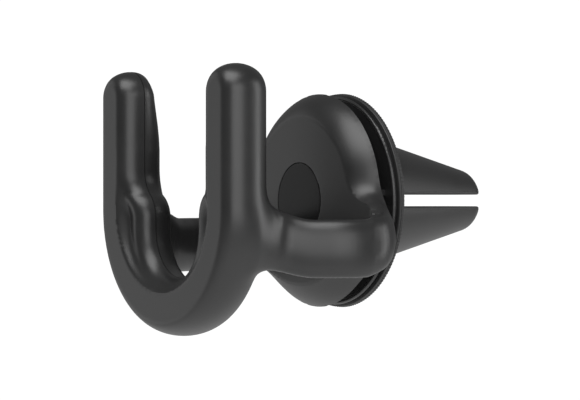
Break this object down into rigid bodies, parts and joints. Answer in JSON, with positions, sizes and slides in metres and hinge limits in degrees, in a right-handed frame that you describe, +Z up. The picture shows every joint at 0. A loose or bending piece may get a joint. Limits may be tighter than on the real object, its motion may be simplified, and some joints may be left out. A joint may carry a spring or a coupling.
{
  "type": "car phone mount",
  "caption": "Car vent phone mount: a U-shaped cradle on two curved arms and a domed swivel head, with dial-driven half-cone jaws that grip a vent blade.",
  "frame": {"origin": "on the swivel axis, in the plane of the floor of the jaw tracks, 1.3 mm behind the dial's rear face, midway between the two jaws", "axes": "+Y along the swivel axis into the vent, -Y towards the phone, +Z up, +X to the right of the fork, with X = 0 the mirror plane"},
  "size_m": [0.0636, 0.0775, 0.0535],
  "materials": {
    "moulded_black": "satin",
    "housing_black": "satin",
    "jaw_black": "satin",
    "cap_gloss": "gloss",
    "grip_black": "fine serration",
    "liner_rubber": "soft matte",
    "pad_rubber": "soft matte",
    "acetal": "natural",
    "fibre": "fibre",
    "zinc_steel": "zinc plated",
    "spring_steel": "ground",
    "brass": "turned"
  },
  "bodies": {
    "base": {"guide_plate": "housing_black", "rear_cover": "housing_black", "cover_screws": "zinc_steel", "threaded_insert": "brass", "swivel_screw": "zinc_steel", "retaining_washer": "zinc_steel", "disc_spring": "spring_steel", "thrust_washer": "acetal"},
    "cradle": {"cradle": "moulded_black", "cradle_liner": "liner_rubber", "centre_cap": "cap_gloss", "swivel_bush": "acetal", "friction_washer": "fibre"},
    "dial": {"dial": "housing_black", "dial_grip_ring": "grip_black"},
    "upper_jaw": {"upper_jaw": "jaw_black", "upper_jaw_pad": "pad_rubber", "upper_follower_pin": "spring_steel"},
    "lower_jaw": {"lower_jaw": "jaw_black", "lower_jaw_pad": "pad_rubber", "lower_follower_pin": "spring_steel"}
  },
  "joints": [
    {"name": "cradle_swivel", "type": "hinge", "parent": "base", "child": "cradle", "pos_m": [0, 0, 0], "axis": [0, 1, 0], "continuous": true},
    {"name": "dial_turn", "type": "hinge", "parent": "base", "child": "dial", "pos_m": [0, 0, 0], "axis": [0, 1, 0], "range_deg": [-20, 36]},
    {"name": "upper_jaw_slide", "type": "slide", "parent": "base", "child": "upper_jaw", "axis": [0, 0, 1], "range_m": [-0.00065, 0.00116]},
    {"name": "lower_jaw_slide", "type": "slide", "parent": "base", "child": "lower_jaw", "axis": [0, 0, -1], "range_m": [-0.00065, 0.00116]}
  ],
  "couplings": [
    {"joint": "upper_jaw_slide", "follows": "dial_turn", "m_per_rad": 0.00184},
    {"joint": "lower_jaw_slide", "follows": "dial_turn", "m_per_rad": 0.00184}
  ]
}
